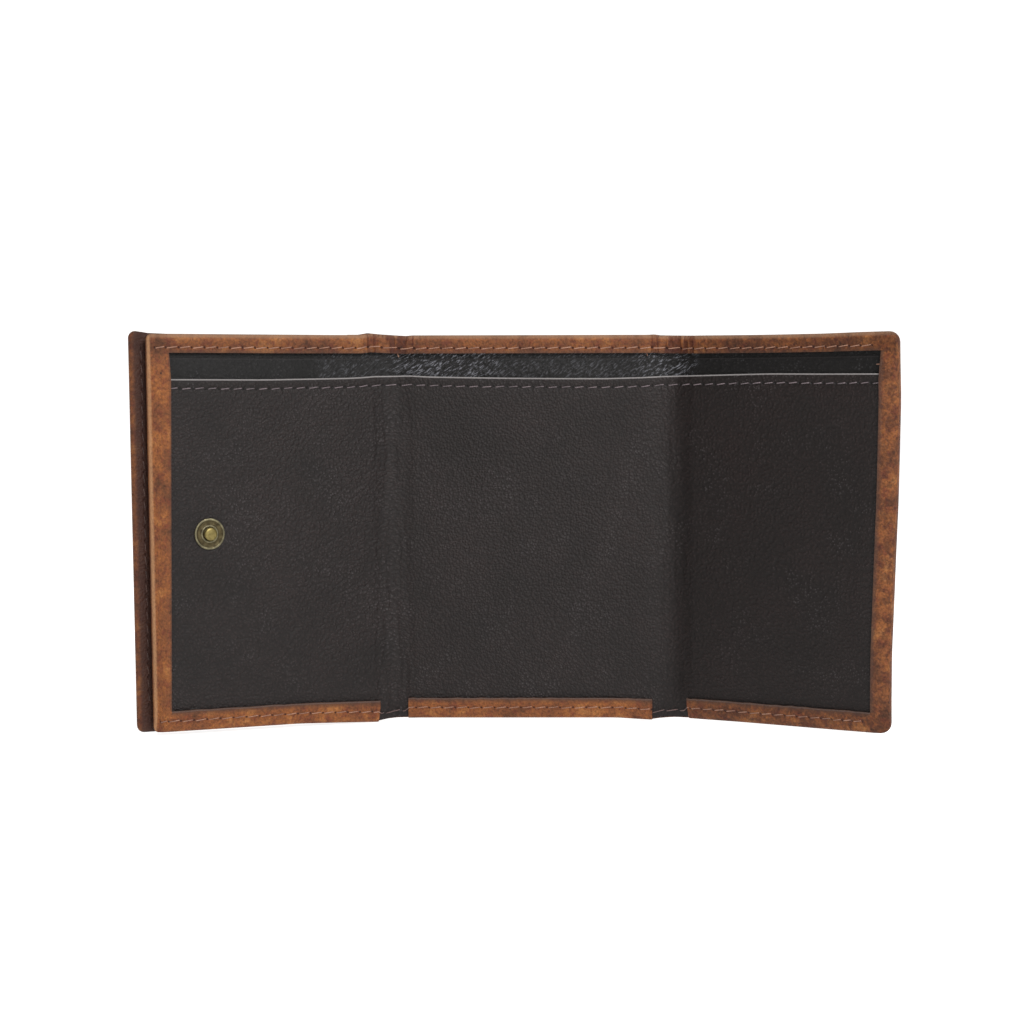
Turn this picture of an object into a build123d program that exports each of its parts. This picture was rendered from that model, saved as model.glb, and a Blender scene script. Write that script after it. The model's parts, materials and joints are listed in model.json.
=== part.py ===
"""Trifold wallet with an outside coin pouch, open and standing on its lower edge.

Each leather sheet runs across all three panels.  A sheet is stored as three firm panel pieces and the two strips
that bend at the folds, so that the side panels can swing.  Every panel is drawn in its own frame: u runs along the
wallet, z is up and depth is counted from the outer face of the wallet towards its user.

X runs along the middle panel, Z is up and the user stands at -Y.  The origin is on the bottom face of the middle
panel, midway between the folds and midway through its thickness.  All lengths are millimetres, angles degrees.
"""

from build123d import *
import os
from math import cos, sin, radians

# Driving dimensions
panel_height = 100.0
fold_spacing = 71.8  # between the two fold axes, across the middle panel
left_width = 66.4  # left fold axis to the free edge
right_width = 64.6  # right fold axis to the free edge
left_open = 26.0  # how far each side panel stands swung forward from flat
right_open = 32.5
left_margin = 2.5  # soft stretch on each side of a fold axis
right_margin = 4.9
fold_lift = 0.5  # the bent strips stand this far off the table
corner_radius = 3.0  # outer corners of the right panel
left_corner_radius = 1.5

# Thickness of each sheet, from the outer face inwards, and the slack between them
shell_leather = 1.0
board = 0.4
lining = 0.4
divider_gap = 0.2
divider = 0.4
pocket_gap = 0.4
pocket = 0.7
turned_edge = 0.7  # the skived edge that is folded inwards
edge_wall = 1.0  # leather that closes the edge of the stack

# Borders that the turned edge makes, and the top edges of the note pocket's sheets
top_border = 4.7
bottom_border = 4.8
left_border = 6.6
right_border = 4.7
pocket_drop = 10.8  # pocket front below the top of the wallet
divider_drop = 6.0
board_inset = 0.5

# Press studs: one closes the wallet, an equal one closes the coin pouch
stud_flange_radius = 4.0
stud_flange = 0.5
bulb_radius = 1.85
bulb_height = 1.2
neck_radius = 1.5
socket_radius = 4.2
socket_height = 1.6
socket_base = 0.3
socket_clearance = 0.2  # round the bulb
seat_clearance = 0.1  # between stud and socket once closed
cap_radius = 6.0
cap_height = 1.2
shank_radius = 0.85
shank_clearance = 0.05
shank_reach = 0.9  # into a stud
rivet_radius = 3.4
rivet_flange = 0.25
closure_height = 49.8
closure_along = 49.5  # from the left fold axis
closed_gap = 0.4  # between the middle and right panels once folded

# Coin pouch on the back of the left panel
flap_overhang = 2.0  # past the left panel's free edge
flap_rise = 0.8  # above the wallet's top edge
flap_leather = 1.0
flap_lining = 0.4
flap_border = 5.0
flap_start = 8.0  # from the left fold axis
flap_corner_radius = 1.8
flap_hinge_along = 4.5
hinge_leather = 0.8
hinge_foot = 5.5
coin_snap_along = 57.0
gusset_cloth = 0.3
gusset_clearance = 0.05
gusset_gap = 0.5  # between the gussets and the hinge strip's foot
gusset_depth = 24.0
gusset_inset = 0.6  # inside the flap's border

# Depths from the outer face of the wallet
board_depth = shell_leather
lining_depth = board_depth + board
lining_face = lining_depth + lining
divider_depth = lining_face + divider_gap
pocket_depth = divider_depth + divider + pocket_gap
pocket_face = pocket_depth + pocket
stack = pocket_face + turned_edge
top_face = lining_face + turned_edge

# The coin gap holds one closed press stud; depths behind the outer face are negative
coin_gap = stud_flange + seat_clearance + socket_height
flap_lining_depth = -coin_gap - flap_lining
flap_depth = flap_lining_depth - flap_leather
flap_border_depth = -coin_gap + turned_edge
flap_hinge_depth = flap_depth / 2
hinge_foot_end = flap_hinge_along + hinge_foot
gusset_start = hinge_foot_end + gusset_gap

# Fold axes: the right panel folds in first, and the left one closes over it by the press stud
right_axis_depth = stack + closed_gap / 2
snap_stack = socket_height + seat_clearance + stud_flange + pocket_face
left_axis_depth = right_axis_depth + snap_stack / 2
socket_along = fold_spacing - closure_along

# Each panel's frame: turn about Z, the point it turns about, and that point's depth
frames = {
    "left": (left_open, -fold_spacing / 2, left_axis_depth),
    "middle": (0.0, 0.0, 0.0),
    "right": (-right_open, fold_spacing / 2, right_axis_depth),
}

# Each panel's firm stretch along u, and the sides at which its edge is turned
spans = {
    "left": (-left_width, -left_margin),
    "middle": (-fold_spacing / 2 + left_margin, fold_spacing / 2 - right_margin),
    "right": (right_margin, right_width),
}
margins = {"left": left_margin, "right": right_margin}
side_borders = {"left": left_border, "middle": 0.0, "right": right_border}
outer_radii = {"left": left_corner_radius, "middle": 0.0, "right": corner_radius}
inner_radii = {name: max(radius - edge_wall, 0.0) for name, radius in outer_radii.items()}


def panel_plane(panel, depth, u=0.0, z=0.0):
    """Plane of a panel at a depth, with x along the panel, y up and z towards the user."""
    turn, pivot_x, pivot_depth = frames[panel]
    along = Vector(cos(radians(turn)), sin(radians(turn)), 0)
    inward = Vector(sin(radians(turn)), -cos(radians(turn)), 0)
    pivot = Vector(pivot_x, stack / 2 - pivot_depth, 0)
    origin = pivot + along * u + inward * (depth - pivot_depth) + Vector(0, 0, z)
    return Plane(origin=origin, x_dir=along, z_dir=inward)


def slab(panel, u_range, z_range, depths, radius=0.0, mode=Mode.ADD):
    """Flat slab of a panel between two depths; a radius rounds the corners at the panel's free edge."""
    width = u_range[1] - u_range[0]
    height = z_range[1] - z_range[0]
    with BuildSketch(panel_plane(panel, depths[0])) as outline:
        with Locations(((u_range[0] + u_range[1]) / 2, (z_range[0] + z_range[1]) / 2)):
            Rectangle(width, height)
        if radius > 0:
            free_end = 0 if panel == "left" else -1
            fillet(outline.vertices().group_by(Axis.X)[free_end], radius)
    extrude(outline.sketch, amount=depths[1] - depths[0], mode=mode)


def free_side(panel, inset):
    """The panel's u range with its free edge moved in by the inset; the ends at the folds stay."""
    low, high = spans[panel]
    if panel == "left":
        low += inset
    if panel == "right":
        high -= inset
    return low, high


def sheet(panel, z_range, depths):
    """Inner sheet of a panel, up against the turned edge at the panel's free end."""
    slab(panel, free_side(panel, edge_wall), z_range, depths, inner_radii[panel])


def bend(side, z_range, depths):
    """Strip of a sheet where it bends: a straight run, an arc about the fold axis and a straight run."""
    turn, pivot_x, pivot_depth = frames[side]
    hand = 1 if side == "left" else -1
    pivot = (pivot_x, stack / 2 - pivot_depth, 0)
    near = sorted((pivot_x, pivot_x + hand * margins[side]))
    far = sorted((0.0, -hand * margins[side]))
    slab("middle", near, z_range, depths)
    slab(side, far, z_range, depths)
    with BuildSketch(Plane(origin=pivot, x_dir=(0, 1, 0), z_dir=(1, 0, 0))) as section:
        with Locations((pivot_depth - (depths[0] + depths[1]) / 2, (z_range[0] + z_range[1]) / 2)):
            Rectangle(depths[1] - depths[0], z_range[1] - z_range[0])
    revolve(section.sketch, axis=Axis(pivot, (0, 0, hand)), revolution_arc=abs(turn))


def stud_hole(panel, u, z, depths, radius):
    """Round hole through a panel between two depths."""
    with BuildSketch(panel_plane(panel, depths[0], u, z)) as circle:
        Circle(radius)
    extrude(circle.sketch, amount=depths[1] - depths[0], mode=Mode.SUBTRACT)


def turned(panel, u, z, depth, points, inward=True):
    """Turned metal piece: an outline of (radius, height) points revolved about the panel's normal."""
    place = panel_plane(panel, depth, u, z)
    normal = place.z_dir if inward else -place.z_dir
    section_plane = Plane(origin=place.origin, x_dir=(0, 0, 1), z_dir=Vector(0, 0, 1).cross(normal))
    with BuildSketch(section_plane) as section:
        with BuildLine():
            Polyline(*points, close=True)
        make_face()
    revolve(section.sketch, axis=Axis(place.origin, normal))


def finish(piece, name):
    """Name a finished piece and store it."""
    piece.part.label = name
    export_step(piece.part, f"parts/{name}.step")


# Outer shell: the plain back, with its edges turned inwards over the lining and the note pocket
def build_shell(panel):
    height = (0.0, panel_height)
    window = free_side(panel, side_borders[panel])
    cavity = free_side(panel, edge_wall)
    cavity_height = (edge_wall, panel_height - edge_wall)
    below_top = panel_height - top_border
    with BuildPart() as shell:
        slab(panel, spans[panel], height, (0.0, stack), outer_radii[panel])
        slab(panel, cavity, cavity_height, (shell_leather, lining_face), inner_radii[panel], Mode.SUBTRACT)
        slab(panel, cavity, (edge_wall, below_top), (lining_face, pocket_face), inner_radii[panel], Mode.SUBTRACT)
        slab(panel, window, (bottom_border, panel_height), (pocket_face, stack), mode=Mode.SUBTRACT)
        slab(panel, window, (below_top, panel_height), (top_face, pocket_face), mode=Mode.SUBTRACT)
        if panel == "left":
            stud_hole(panel, -coin_snap_along, closure_height, (0.0, shell_leather), shank_radius + shank_clearance)
        if panel == "right":
            stud_hole(panel, socket_along, closure_height, (0.0, shell_leather), shank_radius + shank_clearance)
    finish(shell, f"shell_{panel}")


# Board that stiffens each panel, cut away round the rivets that pass behind it
def build_board(panel):
    low, high = free_side(panel, edge_wall)
    z_range = (edge_wall + board_inset, panel_height - edge_wall - board_inset)
    with BuildPart() as stiffener:
        u_range = (low + board_inset, high - board_inset)
        slab(panel, u_range, z_range, (board_depth, lining_depth), inner_radii[panel])
        if panel == "left":
            stud_hole(panel, -coin_snap_along, closure_height, (board_depth, lining_depth), rivet_radius + board)
        if panel == "right":
            stud_hole(panel, socket_along, closure_height, (board_depth, lining_depth), rivet_radius + board)
    finish(stiffener, f"board_{panel}")


# Lining, note divider and pocket front of each panel
def build_inner_sheets(panel):
    with BuildPart() as back_lining:
        sheet(panel, (edge_wall, panel_height - edge_wall), (lining_depth, lining_face))
    finish(back_lining, f"lining_{panel}")
    with BuildPart() as note_divider:
        sheet(panel, (edge_wall, panel_height - divider_drop), (divider_depth, divider_depth + divider))
    finish(note_divider, f"divider_{panel}")
    with BuildPart() as note_pocket:
        sheet(panel, (edge_wall, panel_height - pocket_drop), (pocket_depth, pocket_face))
        if panel == "left":
            hole_depths = (pocket_depth, pocket_face)
            stud_hole(panel, -closure_along, closure_height, hole_depths, shank_radius + shank_clearance)
    finish(note_pocket, f"pocket_{panel}")


# The strips of every sheet that bend at a fold
def build_folds(side):
    top = panel_height - edge_wall
    with BuildPart() as shell_fold:
        bend(side, (fold_lift, panel_height), (0.0, shell_leather))
        bend(side, (top, panel_height), (shell_leather, top_face))
        bend(side, (panel_height - top_border, top), (lining_face, top_face))
    finish(shell_fold, f"shell_fold_{side}")
    with BuildPart() as lining_fold:
        bend(side, (fold_lift, top), (lining_depth, lining_face))
    finish(lining_fold, f"lining_fold_{side}")
    with BuildPart() as divider_fold:
        bend(side, (fold_lift, panel_height - divider_drop), (divider_depth, divider_depth + divider))
    finish(divider_fold, f"divider_fold_{side}")
    with BuildPart() as pocket_fold:
        bend(side, (fold_lift, panel_height - pocket_drop), (pocket_depth, pocket_face))
    finish(pocket_fold, f"pocket_fold_{side}")


# Press studs
def stud_outline():
    """Stud: a flange with a necked bulb, hollow at the back for the rivet's shank."""
    bore = shank_radius + shank_clearance
    top = stud_flange + bulb_height
    return [
        (0, shank_reach),
        (bore, shank_reach),
        (bore, 0),
        (stud_flange_radius - stud_flange / 3, 0),
        (stud_flange_radius, stud_flange / 3),
        (stud_flange_radius, stud_flange * 2 / 3),
        (stud_flange_radius - stud_flange / 3, stud_flange),
        (neck_radius, stud_flange),
        (neck_radius, stud_flange + bulb_height / 4),
        (bulb_radius, stud_flange + bulb_height / 2),
        (bulb_radius, top - bulb_height / 4),
        (bulb_radius - bulb_height / 4, top),
        (0, top),
    ]


def socket_outline():
    """Socket: a ring with a floor that the rivet holds down."""
    bore = bulb_radius + socket_clearance
    hole = shank_radius + shank_clearance
    rim = socket_height / 5
    return [
        (hole, 0),
        (socket_radius, 0),
        (socket_radius, socket_height - rim),
        (socket_radius - rim, socket_height),
        (bore, socket_height),
        (bore, socket_base),
        (hole, socket_base),
    ]


def rivet_outline(reach):
    """Rivet: a thin flange under the leather and a shank through it."""
    return [
        (0, -rivet_flange),
        (rivet_radius, -rivet_flange),
        (rivet_radius, 0),
        (shank_radius, 0),
        (shank_radius, reach),
        (0, reach),
    ]


def build_closure():
    stud_u = -closure_along
    with BuildPart() as stud:
        turned("left", stud_u, closure_height, pocket_face, stud_outline())
    finish(stud, "closure_stud")
    with BuildPart() as stud_rivet:
        reach = pocket + shank_reach - seat_clearance
        turned("left", stud_u, closure_height, pocket_depth, rivet_outline(reach))
    finish(stud_rivet, "closure_stud_rivet")
    with BuildPart() as socket:
        turned("right", socket_along, closure_height, 0.0, socket_outline(), inward=False)
    finish(socket, "closure_socket")
    with BuildPart() as socket_rivet:
        reach = shell_leather + socket_base
        turned("right", socket_along, closure_height, shell_leather, rivet_outline(reach), inward=False)
    finish(socket_rivet, "closure_socket_rivet")


def build_coin_snap():
    snap_u = -coin_snap_along
    with BuildPart() as stud:
        turned("left", snap_u, closure_height, 0.0, stud_outline(), inward=False)
    finish(stud, "coin_stud")
    with BuildPart() as stud_rivet:
        reach = shell_leather + shank_reach - seat_clearance
        turned("left", snap_u, closure_height, shell_leather, rivet_outline(reach), inward=False)
    finish(stud_rivet, "coin_stud_rivet")
    with BuildPart() as socket:
        turned("left", snap_u, closure_height, -coin_gap, socket_outline())
    finish(socket, "coin_socket")
    with BuildPart() as cap:
        reach = flap_leather + flap_lining + socket_base
        rim = cap_height / 4
        outline = [
            (0, -cap_height),
            (cap_radius / 2, -cap_height + rim / 2),
            (cap_radius - rim * 2, -rim * 2),
            (cap_radius, -rim),
            (cap_radius, 0),
            (shank_radius, 0),
            (shank_radius, reach),
            (0, reach),
        ]
        turned("left", snap_u, closure_height, flap_depth, outline)
    finish(cap, "coin_cap")


# Coin pouch: a lined flap that covers the back of the left panel, hinged at its fold side
def build_coin_flap():
    flap_end = -left_width - flap_overhang
    top = panel_height + flap_rise
    full = (flap_end, -flap_start)
    lined = (flap_end + edge_wall, -flap_start)
    window = (flap_end + flap_border, -flap_start)
    hole_radius = shank_radius + shank_clearance
    with BuildPart() as flap:
        slab("left", full, (0.0, top), (flap_depth, flap_border_depth), flap_corner_radius)
        slab("left", lined, (edge_wall, top - edge_wall), (flap_lining_depth, -coin_gap), mode=Mode.SUBTRACT)
        window_z = (flap_border, top - flap_border)
        slab("left", window, window_z, (-coin_gap, flap_border_depth), mode=Mode.SUBTRACT)
        stud_hole("left", -coin_snap_along, closure_height, (flap_depth, flap_lining_depth), hole_radius)
    finish(flap, "coin_flap_shell")
    with BuildPart() as inside:
        slab("left", lined, (edge_wall, top - edge_wall), (flap_lining_depth, -coin_gap))
        stud_hole("left", -coin_snap_along, closure_height, (flap_lining_depth, -coin_gap), hole_radius)
    finish(inside, "coin_flap_lining")


def build_coin_hinge():
    """Strip sewn to the back of the left panel that turns round into the flap."""
    top = panel_height + flap_rise
    z_range = (fold_lift, top - fold_lift)
    middle = panel_plane("left", flap_hinge_depth, -flap_hinge_along)
    with BuildPart() as hinge:
        slab("left", (-hinge_foot_end, -flap_hinge_along), z_range, (-hinge_leather, 0.0))
        slab("left", (-flap_start, -flap_hinge_along), z_range, (flap_depth, flap_depth + hinge_leather))
        with BuildSketch(Plane(origin=middle.origin, x_dir=middle.z_dir, z_dir=-middle.x_dir)) as section:
            with Locations((-flap_hinge_depth - hinge_leather / 2, (z_range[0] + z_range[1]) / 2)):
                Rectangle(hinge_leather, z_range[1] - z_range[0])
        revolve(section.sketch, axis=Axis(middle.origin, (0, 0, 1)), revolution_arc=180)
    finish(hinge, "coin_hinge")


def build_gusset(end):
    """Folded triangle of cloth that closes the pouch at the top or bottom and opens out like a fan."""
    top = panel_height + flap_rise - flap_border - gusset_inset
    level = top if end == "top" else flap_border + gusset_inset
    slope = -1 if end == "top" else 1
    start = -gusset_start
    tip = -left_width - flap_overhang + flap_border + gusset_inset
    shift = -slope * gusset_cloth
    outside = (-coin_gap + gusset_clearance, -gusset_clearance)
    inside = (outside[0] + gusset_cloth, outside[1] - gusset_cloth)
    with BuildPart() as gusset:
        with BuildSketch(panel_plane("left", outside[0])) as triangle:
            with BuildLine():
                Polyline((start, level), (tip, level), (tip, level + slope * gusset_depth), close=True)
            make_face()
        extrude(triangle.sketch, amount=outside[1] - outside[0])
        with BuildSketch(panel_plane("left", inside[0])) as hollow:
            with BuildLine():
                high = level + shift
                Polyline((start, high), (tip, high), (tip, high + slope * gusset_depth), close=True)
            make_face()
        extrude(hollow.sketch, amount=inside[1] - inside[0], mode=Mode.SUBTRACT)
    finish(gusset, f"coin_gusset_{end}")


os.makedirs("parts", exist_ok=True)
for panel_name in ("left", "middle", "right"):
    build_shell(panel_name)
    build_board(panel_name)
    build_inner_sheets(panel_name)
for fold_name in ("left", "right"):
    build_folds(fold_name)
build_closure()
build_coin_snap()
build_coin_flap()
build_coin_hinge()
for gusset_end in ("top", "bottom"):
    build_gusset(gusset_end)
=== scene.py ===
"""Looks of the trifold wallet: turned leather shell, note pocket, press studs and coin pouch.

Every leather sheet is cut flat across all three panels, in millimetres: x runs along the wallet, z up it and
depth is counted from the back face towards the user.  Laying up presses the sheets thin at the edges, folds
them round the two fold axes and turns millimetres into metres.  Patterns follow the flat cut, which each
piece keeps as "cut".
"""

import bpy
import json
from math import ceil, cos, floor, pi, radians, sin
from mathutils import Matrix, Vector, noise


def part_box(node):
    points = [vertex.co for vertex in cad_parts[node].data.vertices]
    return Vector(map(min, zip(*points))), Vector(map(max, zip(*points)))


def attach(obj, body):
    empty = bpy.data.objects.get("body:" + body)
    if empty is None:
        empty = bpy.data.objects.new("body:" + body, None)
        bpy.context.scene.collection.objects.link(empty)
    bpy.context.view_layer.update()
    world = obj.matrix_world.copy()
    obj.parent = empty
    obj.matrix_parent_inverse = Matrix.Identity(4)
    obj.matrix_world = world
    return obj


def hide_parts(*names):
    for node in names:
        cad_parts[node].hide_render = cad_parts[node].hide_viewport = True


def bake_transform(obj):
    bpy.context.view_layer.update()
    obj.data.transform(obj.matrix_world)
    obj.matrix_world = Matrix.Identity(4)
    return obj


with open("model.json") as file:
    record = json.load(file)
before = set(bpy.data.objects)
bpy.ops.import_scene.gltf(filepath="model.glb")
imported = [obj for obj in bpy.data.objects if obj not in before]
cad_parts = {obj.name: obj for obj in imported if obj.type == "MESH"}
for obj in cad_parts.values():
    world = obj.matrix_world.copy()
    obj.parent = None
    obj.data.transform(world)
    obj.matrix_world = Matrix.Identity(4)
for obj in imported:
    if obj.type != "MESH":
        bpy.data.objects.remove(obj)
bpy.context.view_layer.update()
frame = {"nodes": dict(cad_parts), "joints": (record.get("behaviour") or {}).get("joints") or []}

MM = 0.001
joints = {joint["name"]: joint for joint in frame["joints"]}


def corners(node):
    """Lowest and highest corner of a CAD node, in millimetres."""
    low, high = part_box(node)
    return [value / MM for value in low], [value / MM for value in high]


# Places taken from the frame: the fold axes, the turn of the side panels and the flat length of the wallet
middle_low, middle_high = corners("shell_middle")
back = middle_high[1]
stack = middle_high[1] - middle_low[1]
height = middle_high[2]
left_axis = [value / MM for value in joints["left_fold"]["pos_m"]]
right_axis = [value / MM for value in joints["right_fold"]["pos_m"]]
left_turn = -joints["left_fold"]["range_deg"][0]
right_turn = -joints["right_fold"]["range_deg"][0]
left_depth = back - left_axis[1]
right_depth = back - right_axis[1]


def panel_width(low_x, axis, turn, depth):
    """Flat distance from a fold axis to the free edge whose back corner lies furthest out."""
    return (abs(low_x - axis[0]) - depth * sin(radians(turn))) / cos(radians(turn))


left_width = panel_width(corners("shell_left")[0][0], left_axis, left_turn, left_depth)
right_width = panel_width(corners("shell_right")[1][0], right_axis, right_turn, right_depth)
left_end = left_axis[0] - left_width
right_end = right_axis[0] + right_width
flap_depths = (-3.6, -1.5)
flap_low, flap_high = corners("coin_flap_shell")
flap_end = left_axis[0] - panel_width(flap_low[0], left_axis, left_turn, left_depth - flap_depths[0])
flap_top = flap_high[2]
flap_start = left_axis[0] - 8.0
coin_axis_x = left_axis[0] - 4.5

# Leather and its turned edges
shell_leather = 1.0
turned_edge = 0.7
edge_wall = 1.0
top_border = 4.7
bottom_border = 5.4
left_border = 6.6
right_border = 4.7
pocket_top = corners("pocket_middle")[1][2]
divider_top = corners("divider_middle")[1][2]
board_depths = (1.0, 1.4)
lining_depths = (1.4, 1.8)
divider_depths = (2.0, 2.4)
pocket_depths = (2.8, 3.5)
flap_lining_depths = (-2.6, -2.2)
rim_round = 1.15
left_gap = (left_axis[0] - 3.3, left_axis[0] + 3.0)
right_gap = (right_axis[0] - 4.7, right_axis[0] + 4.6)
gap_height = 6.0  # up to where the turned edge is left out at a fold
left_reach = 5.0  # half the length along which a fold bends
right_reach = 6.5
stitch_pitch = 3.45
top_row = height - 3.35
bottom_row = 2.85
pocket_row = pocket_top - 2.4


# Laying up ------------------------------------------------


def ease(value, start, end):
    """From 0 at start to 1 at end, smoothly."""
    share = min(max((value - start) / (end - start), 0.0), 1.0)
    return share * share * (3 - 2 * share)


def bump(value, middle, half):
    """1 at the middle, falling to 0 at half a width away."""
    return 1 - ease(abs(value - middle), 0.0, half)


def along(value, table):
    """Straight lines between the places of a table."""
    for (a, low), (b, high) in zip(table, table[1:]):
        if value <= b:
            return low + (high - low) * min(max((value - a) / (b - a), 0.0), 1.0)
    return table[-1][1]


def thickness(x, z):
    """Thickness of the pressed stack: thin at its free edges and above the pocket."""
    thick = stack
    thick -= 1.5 * (1 - ease(x - left_end, 0.0, 5.5))
    thick -= 1.4 * (1 - ease(right_end - x, 0.0, 5.0))
    thick -= 1.2 * (1 - ease(z, 0.0, 4.5))
    top = 2.5 - 0.4 * (1 - ease(height - z, 0.0, 2.0))
    share = ease(z, pocket_top - 1.0, height - top_border)
    return thick + (min(thick, top) - thick) * share


def press(depth, x, z):
    """Depth after pressing: the back leather keeps its own, and what lies on it is squeezed."""
    if depth <= shell_leather:
        return depth
    thick = thickness(x, z)
    if depth >= stack:
        return thick + depth - stack
    return shell_leather + (depth - shell_leather) * (thick - shell_leather) / (stack - shell_leather)


def fold(x, y, z):
    """A flat place turned round the fold axis on its side of the wallet."""
    left, right = (left_axis, left_turn, left_reach, -1), (right_axis, -right_turn, right_reach, 1)
    for axis, turn, reach, side in (left, right):
        share = ease(side * (x - axis[0]), -reach, reach)
        if share > 0:
            angle = radians(turn * share)
            dx, dy = x - axis[0], y - axis[1]
            x = axis[0] + dx * cos(angle) - dy * sin(angle)
            y = axis[1] + dx * sin(angle) + dy * cos(angle)
            break
    return x, y, z


# Small shape of the worn edges, in millimetres along the flat wallet
top_line = [
    (-103, 0.0), (-60, 0.0), (-43, 0.1), (-40.5, 0.55), (-38, 0.3), (-33, -0.1), (-31.6, 0.05), (30, 0.0),
    (31.5, 0.12), (33, -0.12), (41, -0.3), (46, -0.32), (60, -0.42), (78, -0.35), (90, -0.1), (101, 0.0),
]
bottom_line = [
    (-61, 0.0), (-50, -0.4), (-41.6, -0.75), (-39.3, -0.85), (-36.7, -0.3), (-35, -0.1), (-30, 0.0),
    (22, 0.0), (28, -0.4), (31, -0.58), (33, -0.3), (36, 0.0), (42, 0.2), (55, 0.3), (101, 0.3),
]
right_rim = [
    (0, 2.95), (7.6, 3.05), (20, 3.05), (33, 2.57), (45.6, 2.14), (58, 1.65), (71, 1.4), (83.5, 1.2),
    (93.7, 1.5), (100, 1.6),
]
pocket_line = [
    (-96, 0.0), (-70, -0.2), (-46, 0.1), (-40, 0.5), (-32, 0.6), (-27, 0.3), (-10, -0.1), (6, -0.35),
    (19, -0.45), (28, -0.27), (34, 0.0), (42, 0.1), (64, 0.35), (78, 0.15), (96, 0.0),
]
pocket_sag = 0.0045  # slope of the pocket's edge along the wallet
growth = 1.006  # the stitched stack stands a little taller than its cut


def worn_edge(x, z, depth):
    """How far the free edges have been pushed in along the wallet, more towards its lower edge."""
    low = height - z
    if depth < -1.0:
        return (0.15 + 0.0095 * low) * (1 - ease(x, flap_end, flap_end + 30.0))
    left = (0.85 + 0.019 * low) * (1 - ease(x, left_end, left_end + 5.8))
    left += (0.65 - 0.0105 * low) * ease(-x, 60.0, 96.0)
    return left - along(z, right_rim) * (1 - ease(right_end - x, 0.0, 24.0))


def wrinkle(x, z, strength):
    """Creases that run up the folds, deepest at the left one."""
    total = 0.0
    for axis, reach, depth in ((left_axis[0], 6.5, 1.0), (right_axis[0], 7.5, 0.6)):
        near = bump(x, axis, reach)
        if near > 0:
            drift = noise.noise((x * 0.25, z * 0.045, axis))
            ridge = noise.noise((x * 0.8 + drift * 2.0, z * 0.05, 3.0 + axis))
            fine = noise.noise((x * 1.7, z * 0.13, 7.0 + axis))
            total += near * depth * (0.30 * ridge + 0.12 * fine)
    slack = noise.noise((x * 0.035, z * 0.035, 1.3)) * 0.14
    return strength * (total + slack)


def lay_up(piece, strength=0.0, gaps=False, sag=0.0, angle=40):
    """Smooth a flat piece, press it, crease it, fold it round the axes and turn it into metres."""
    smooth(piece, angle)
    mesh = piece.data
    cut = mesh.attributes.new("cut", "FLOAT_VECTOR", "POINT")
    for index, vertex in enumerate(mesh.vertices):
        x, y, z = vertex.co
        depth = back - y
        cut.data[index].vector = (x, z, depth)
        pressed = press(depth, x, z)
        if strength:
            pressed += wrinkle(x, z, strength) * ease(depth, -0.2, 2.0)
        if depth > stack - 0.01:
            pressed -= 0.16 * max(bump(z, top_row, 1.0), bump(z, bottom_row, 1.0))
        if abs(depth - pocket_depths[1]) < 0.01:
            pressed -= 0.14 * bump(z, pocket_row, 0.9)
        in_gap = left_gap[0] < x < left_gap[1] or right_gap[0] < x < right_gap[1]
        if gaps and in_gap and z < gap_height and pressed > shell_leather:
            pressed = shell_leather + (pressed - shell_leather) * 0.02
        if not gaps and in_gap and z < 3.9 and depth > shell_leather:
            z -= 0.7
        if depth >= -1.0 and z > 60:
            z += along(x, top_line) * ease(z, height - 9.0, height - 2.0)
            if sag:
                z += (sag * x + along(x, pocket_line)) * ease(z, 60.0, pocket_top)
        if depth < -1.0:
            dip = 0.65 * ease(z, 60.0, flap_top) * ease(x, flap_end + 1.0, flap_end + 7.0)
            z -= dip + 0.3 * (1 - ease(z, 0.0, 10.0))
        elif z < 12:
            z += along(x, bottom_line) * (1 - ease(z, 2.0, 10.0))
        if gaps and depth > 3.4 and bottom_border - 0.2 < z < bottom_border + 0.5:
            z += 0.22 * noise.noise((x * 0.9, 5.0, depth * 0.2))
        x += worn_edge(x, z, depth)
        x, y, z = fold(x, back - pressed, z * growth)
        vertex.co = (x * MM, y * MM, z * MM)
    mesh.update()


# Working a piece by hand ----------------------------------


def put_down():
    """Leave edit mode with nothing selected."""
    if bpy.context.object is not None and bpy.context.object.mode != "OBJECT":
        bpy.ops.object.mode_set(mode="OBJECT")
    bpy.ops.object.select_all(action="DESELECT")


def take(piece):
    """Select one piece alone."""
    put_down()
    piece.select_set(True)
    bpy.context.view_layer.objects.active = piece


def pick(piece, kind, wanted):
    """Open a piece for editing with what passes the test on its place and direction selected."""
    take(piece)
    mesh = piece.data
    groups = {"points": mesh.vertices, "edges": mesh.edges, "faces": mesh.polygons}
    for group in groups.values():
        group.foreach_set("select", [False] * len(group))
    bpy.context.tool_settings.mesh_select_mode = [kind == known for known in groups]
    for part in groups[kind]:
        if kind == "edges":
            a, b = (mesh.vertices[i].co for i in part.vertices)
            part.select = wanted((a + b) / 2, (b - a).normalized())
        else:
            part.select = wanted(part.co if kind == "points" else part.center, part.normal)
    bpy.ops.object.mode_set(mode="EDIT")


def anywhere(place, way):
    return True


def through_it(place, way):
    """Edges that run through the thickness of a flat piece."""
    return abs(way.y) > 0.9


def extrude(x, y, z):
    bpy.ops.mesh.extrude_region_move(TRANSFORM_OT_translate={"value": (x, y, z)})


def bevel(piece, wanted, size, segments):
    """Round off the edges that pass the test."""
    pick(piece, "edges", wanted)
    bpy.ops.mesh.bevel(offset=size, segments=segments, affect="EDGES", clamp_overlap=False)
    put_down()


def new_piece(name, scale=(1, 1, 1)):
    """Name the piece just added and make its size and turn its own."""
    made = bpy.context.object
    made.name = made.data.name = name
    made.scale = scale
    bpy.ops.object.transform_apply(location=True, rotation=True, scale=True)
    return made


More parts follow.
